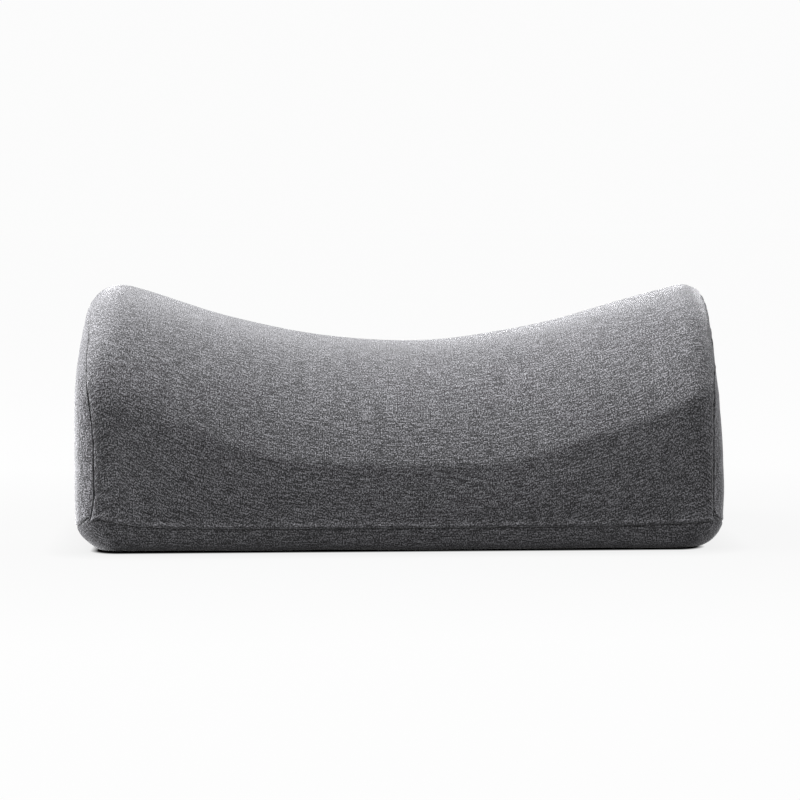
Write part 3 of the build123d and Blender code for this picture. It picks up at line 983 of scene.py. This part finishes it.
def filling(depth):
    """The body at a depth, with its rear held clear of the zip."""
    obj = body_under(depth, FILLING_VOXEL)
    places = corner_points(obj.data)
    places[:, 1] = np.minimum(places[:, 1], HALF_DEPTH - depth - REAR_RELIEF)
    obj.data.vertices.foreach_set("co", places.ravel())
    return obj


foam_body = filling(FOAM_DEPTH)
zone = core_zone()
core_piece = foam_piece(
    foam_body, zone, "INTERSECT", "core_foam_block", core_foam, "support_core"
)
comfort_piece = foam_piece(
    foam_body, zone, "DIFFERENCE", "comfort_foam_top", soft_foam, "comfort_layer"
)
liner_body = filling(LINER_DEPTH)
liner_near = LINER_SEAM - LINER_GAP
liner_far = LINER_SEAM + LINER_GAP
liner_middle = liner_piece(liner_body, -liner_near, liner_near, "liner_jersey_wrap", "liner_wrap")
liner_left = liner_piece(liner_body, None, -liner_far, "liner_jersey_left", "liner_end_left")
liner_right = liner_piece(liner_body, liner_far, None, "liner_jersey_right", "liner_end_right")
for helper in (foam_body, zone, liner_body):
    bpy.data.objects.remove(helper)

# -------- threads

STITCH_PITCH = 3.0 * MM
STITCH_GAP = 0.7 * MM
STITCH_SWELL = np.array([0.55, 0.85, 1.0, 1.0, 1.0, 0.85, 0.55])  # thickness along a stitch
STITCH_DIP = 1.6  # how far its ends go into the cloth, in thread radii
SEAM_THREAD = 0.25 * MM
SEAM_THREAD_DEPTH = 0.5 * MM
SIDES = 8  # of a thread or wire
UPRIGHT = 0.8  # a line that climbs more steeply than this is drawn round from the side


def rings_round(line, ahead, side, radii):
    """Rings of points round a line, from its directions ahead and to one side."""
    up = np.cross(side, ahead)
    turn = np.arange(SIDES) / SIDES * 2 * np.pi
    circle = side[:, None] * np.cos(turn)[None, :, None] + up[:, None] * np.sin(turn)[None, :, None]
    return (line[:, None] + circle * radii[:, None, None]).reshape(-1, 3)


def tube_rings(line, radii):
    """Rings round a line that is nearly straight."""
    ahead = unit(np.gradient(line, axis=0))
    guide = np.array([0.0, 0.0, 1.0]) if abs(ahead[0, 2]) < UPRIGHT else np.array([1.0, 0.0, 0.0])
    return rings_round(line, ahead, unit(np.cross(ahead, guide)), radii)


def stitches(name, line, radius, material, node, pitch=STITCH_PITCH):
    """A row of separate stitches along a line, each dipping into the cloth at its ends."""
    total = runs(line)[-1]
    count = int(total / pitch)
    pitch = total / count
    points, faces = [], []
    shares = np.linspace(0, 1, len(STITCH_SWELL))
    dip = STITCH_DIP * radius * (2 * shares - 1) ** 4
    for i in range(count):
        run = i * pitch + STITCH_GAP / 2 + shares * (pitch - STITCH_GAP)
        middle = at_runs(line, run)
        middle = middle - outward(middle) * dip[:, None]
        faces += tube_faces(len(shares), SIDES, i * len(shares) * SIDES)
        points.append(tube_rings(middle, radius * STITCH_SWELL))
    return mesh_object(name, np.concatenate(points), faces, material, node)


def seam_row(name, line, node):
    """The dark stitches of one of the cover's seams, sunk below its surface in the crease: real stitches
    whose near-black colour also paints the crease's shade.
    """
    sunk = line - outward(line) * SEAM_THREAD_DEPTH
    return stitches(name, sunk, SEAM_THREAD, seam_thread_and_crease_shade, node)


seam_row("end_thread_left", wrap[0], "end_seam_left")
seam_row("end_thread_right", wrap[-1], "end_seam_right")
closed_seam = np.concatenate([rim, rim[:1]])
rear_gap = (closed_seam[:, 1] > 0) & (opening(closed_seam[:, 0]) > 0)
before_gap, after_gap = np.where(rear_gap)[0][[0, -1]]
base_line = np.concatenate([closed_seam[after_gap + 1 : -1], closed_seam[:before_gap]])
seam_row("base_thread", base_line, "base_seam")

# -------- zip

TAPE_WIDTH = 9.4 * MM
TAPE_RELIEF = 0.05 * MM  # the tape's face lies this far inside the CAD tape's, at least
TAPE_THICK = 0.38 * MM
TAPE_RIPPLE = 0.08 * MM
TAPE_GAP = 0.1 * MM  # from the middle of the chain to each tape's edge
TAPE_CLOSES = 2.5 * MM  # past the top stops the tapes meet again within this length
COIL_PITCH = 1.1 * MM
COIL_WIRE = 0.25 * MM  # radius
COIL_REACH = 2.0 * MM  # how far a loop reaches over its tape from the middle of the chain
COIL_START = 0.3 * MM
INTERLOCK = 0.35 * MM  # how far it reaches past its tape's edge, between the other half's loops
PARTING = 1.2 * MM
COIL_TURN_STEPS = 12
SLIDER_MIDDLE = (slider_low.x + slider_high.x) / 2
FLARE_FROM = SLIDER_MIDDLE - 1.5 * MM
FLARE_TO = SLIDER_MIDDLE + 2.5 * MM
STOP_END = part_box("zip_top_stop_upper")[1].x
TAPE_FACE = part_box("zip_tape_upper")[1].y
WALL_RADIUS = TAPE_FACE - (HALF_DEPTH - BASE_EDGE)
LOWER_BEND_HEIGHT = BASE_EDGE - 0.2 * MM  # below this the lower tape follows the rounded base edge
LOWER_BEND_LIMIT = math.radians(50)
ROW_THREAD = 0.22 * MM
ROW_LIFT = 0.2 * MM
ROW_PITCH = 2.8 * MM


def parting(x):
    """How far each half of the chain stands aside at x, because of the slider's post."""
    return PARTING * np.clip((x - FLARE_FROM) / (FLARE_TO - FLARE_FROM), 0, 1)


def tape(name, upper, node):
    """One tape: a woven strip, upright above the chain and bent round the base edge below it."""
    low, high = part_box(node)
    x, s = np.meshgrid(np.linspace(low.x, high.x, 187), np.linspace(0, 1, 15), indexing="ij")
    closing = smooth(STOP_END, STOP_END + TAPE_CLOSES, x)
    edge = TAPE_GAP + parting(x) * (1 - closing)
    across = edge + s * (TAPE_WIDTH - edge)
    ripple = TAPE_RIPPLE * waves(x, (0.017, 0.029, 0.041), 41 if upper else 42) * s
    if upper:
        z = ZIP_HEIGHT + across
        y = TAPE_FACE
        normal = np.array([0, 1, 0])
    else:
        down = ZIP_HEIGHT - across
        past = np.maximum(LOWER_BEND_HEIGHT - down, 0)
        turn = np.minimum(past / WALL_RADIUS, LOWER_BEND_LIMIT)
        y = TAPE_FACE - WALL_RADIUS * (1 - np.cos(turn))
        z = np.where(past > 0, LOWER_BEND_HEIGHT - WALL_RADIUS * np.sin(turn), down)
        normal = joined(0, np.cos(turn), -np.sin(turn))
    face = joined(x, y, z) - normal * (TAPE_RELIEF + np.abs(ripple))[..., None]
    points, faces = open_grid_shell(face, face - normal * TAPE_THICK, flip=upper)
    flat = joined(x, across).reshape(-1, 2)
    return mesh_object(name, points, faces, tape_cloth, node, np.concatenate([flat, flat]))


def tube_rings_free(line, radius):
    """Rings round a line that turns any way, each ring turned as little as can be from the last."""
    ahead = unit(np.gradient(line, axis=0))
    side = np.zeros_like(line)
    side[0] = unit(np.cross(ahead[0], (1.0, 0.0, 0.0)))
    for i in range(1, len(line)):
        side[i] = unit(side[i - 1] - ahead[i] * np.dot(side[i - 1], ahead[i]))
    return rings_round(line, ahead, side, np.full(len(line), radius))


def coil(name, upper, node):
    """A nylon helix of flattened loops, which reach between those of the other half."""
    low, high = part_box(node)
    turns = int((high.x - low.x - 2 * COIL_WIRE) / COIL_PITCH) - 1
    theta = np.arange(turns * COIL_TURN_STEPS + 1) / COIL_TURN_STEPS * 2 * np.pi
    stagger = COIL_PITCH / 2 if upper else 0
    x = low.x + COIL_WIRE + COIL_START + COIL_PITCH * theta / (2 * np.pi) + stagger
    inner = TAPE_GAP - INTERLOCK + COIL_WIRE
    outer = COIL_REACH - COIL_WIRE
    across = (inner + outer) / 2 - (outer - inner) / 2 * np.cos(theta)
    depth = (high.y - low.y) / 2 - COIL_WIRE
    y = (low.y + high.y) / 2 + depth * np.sin(theta)
    z = ZIP_HEIGHT + (1 if upper else -1) * (across + parting(x))
    line = joined(x, y, z)
    points = tube_rings_free(line, COIL_WIRE)
    return mesh_object(name, points, tube_faces(len(line), SIDES), coil_nylon, node)


def straight_row(name, node):
    """Topstitching along a straight line that lies on the cover."""
    low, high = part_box(node)
    xs = np.linspace(low.x, high.x, 400)
    line = onto_form(joined(xs, (low.y + high.y) / 2, (low.z + high.z) / 2))
    return stitches(name, line + outward(line) * ROW_LIFT, ROW_THREAD, thread_top, node, ROW_PITCH)


tape_upper = tape("tape_upper", True, "zip_tape_upper")
tape_lower = tape("tape_lower", False, "zip_tape_lower")
coil("coil_upper", True, "zip_coil_upper")
coil("coil_lower", False, "zip_coil_lower")
straight_row("zip_row_upper", "zip_stitch_upper")
straight_row("zip_row_lower", "zip_stitch_lower")

for node in ("zip_slider", "zip_pull", "zip_top_stop_upper", "zip_top_stop_lower", "zip_bottom_stop"):
    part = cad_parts[node]
    part.data.materials.clear()
    part.data.materials.append(slider_metal)

# -------- label

LABEL_THICK = 0.16 * MM
LABEL_RELIEF = 0.02 * MM
LABEL_CURL = 0.12 * MM


def label():
    """A blank satin care label that waves a little more with height."""
    low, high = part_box("care_label")
    height = high.z - low.z
    x, t = np.meshgrid(np.linspace(low.x, high.x, 41), np.linspace(0, 1, 45), indexing="ij")
    curl = LABEL_CURL * np.sin(t * 5 + x * 90) * t
    face = joined(x, high.y - LABEL_RELIEF - np.abs(curl), low.z + t * height)
    back = face - np.array([0, LABEL_THICK, 0])
    points, faces = open_grid_shell(face, back, flip=True)
    flat = joined(x - low.x, t * height).reshape(-1, 2)
    flat = np.concatenate([flat, flat])
    return mesh_object("satin_label", points, faces, label_cloth, "care_label", flat)


label_piece = label()

# -------- studio

LAMPS_AIM = Vector((0, 0, 0.06))
WORLD_STRENGTH = 0.97
FLOOR_HALF = 30
FLOOR_DROP = 0.2 * MM  # so that the floor and the base don't share a plane
# Half sizes of the floor's dark patch under the pillow, its painted contact shadow
SHADOW_PATCH_HALF_LENGTH = HALF_LENGTH - 24 * MM
SHADOW_PATCH_HALF_DEPTH = HALF_DEPTH - 16 * MM


def lamp(name, energy, size, place):
    """A soft box of this size, aimed at the pillow."""
    data = bpy.data.lights.new(name, "AREA")
    data.energy = energy
    data.shape = "RECTANGLE"
    data.size, data.size_y = size
    obj = added(name, data)
    obj.location = place
    obj.rotation_euler = (LAMPS_AIM - Vector(place)).to_track_quat("-Z", "Y").to_euler()


def glowing_table_with_painted_shadow():
    """A pale table that glows, with a painted contact shadow: no glow where the pillow stands, and a little
    less near it.
    """
    s = Shader("studio floor")
    where = s.add("SeparateXYZ", Vector=s.place()).outputs
    beyond = []
    for place, half in ((where[0], SHADOW_PATCH_HALF_LENGTH), (where[1], SHADOW_PATCH_HALF_DEPTH)):
        past = s.math("SUBTRACT", s.math("ABSOLUTE", place), half)
        beyond.append(s.math("POWER", s.math("MAXIMUM", past, 0.0), 2.0))
    from_shadow_patch = s.math("SQRT", s.math("ADD", *beyond))
    return s.finish(
        Base_Color=(0.004, 0.004, 0.004, 1.0),
        Roughness=0.9,
        Specular_IOR_Level=0.0,
        # Painted contact shadow: no glow in the patch, rising over a few centimetres around it to nearly full
        # glow
        Emission_Color=s.ramp(from_shadow_patch, (0.0122, 0.0), (0.0148, 0.85), (0.04, 0.93), (0.3, 0.965)),
        Emission_Strength=1.0,
    )


def studio_floor():
    """A broad, pale floor just below the base."""
    mesh = bpy.data.meshes.new("studio_floor")
    corners = [(x * FLOOR_HALF, y * FLOOR_HALF, 0) for x, y in ((-1, -1), (1, -1), (1, 1), (-1, 1))]
    mesh.from_pydata(corners, [], [(0, 1, 2, 3)])
    mesh.materials.append(glowing_table_with_painted_shadow())
    obj = added("studio_floor", mesh)
    obj.location.z = -FLOOR_DROP


lamp("key_upper_left", 104, (0.8, 0.8), (-0.7, 0.1, 1.2))
lamp("low_left", 51, (0.8, 0.4), (-1.3, -0.1, 0.22))
lamp("right_fill", 21, (0.8, 0.8), (1.2, 0.0, 0.6))
studio_floor()

world = bpy.data.worlds.new("studio")
world.use_nodes = True
background = world.node_tree.nodes["Background"]
background.inputs["Color"].default_value = (1.0, 1.0, 1.0, 1.0)
background.inputs["Strength"].default_value = WORLD_STRENGTH

# The camera: a long lens in front of the pillow, a little above it and turned slightly aside
camera_data = bpy.data.cameras.new("camera")
camera_data.lens = 121.95
camera_data.sensor_width = 36
camera = added("camera", camera_data)
camera.location = (-0.0454, -1.4013, 0.1618)
aim = Euler((math.radians(86.18), 0, math.radians(-2))).to_matrix()
camera.rotation_euler = (aim @ Matrix.Rotation(math.radians(-0.19), 3, "Z")).to_euler()

scene = bpy.context.scene
scene.world = world
scene.view_settings.view_transform = "Standard"
scene.camera = camera
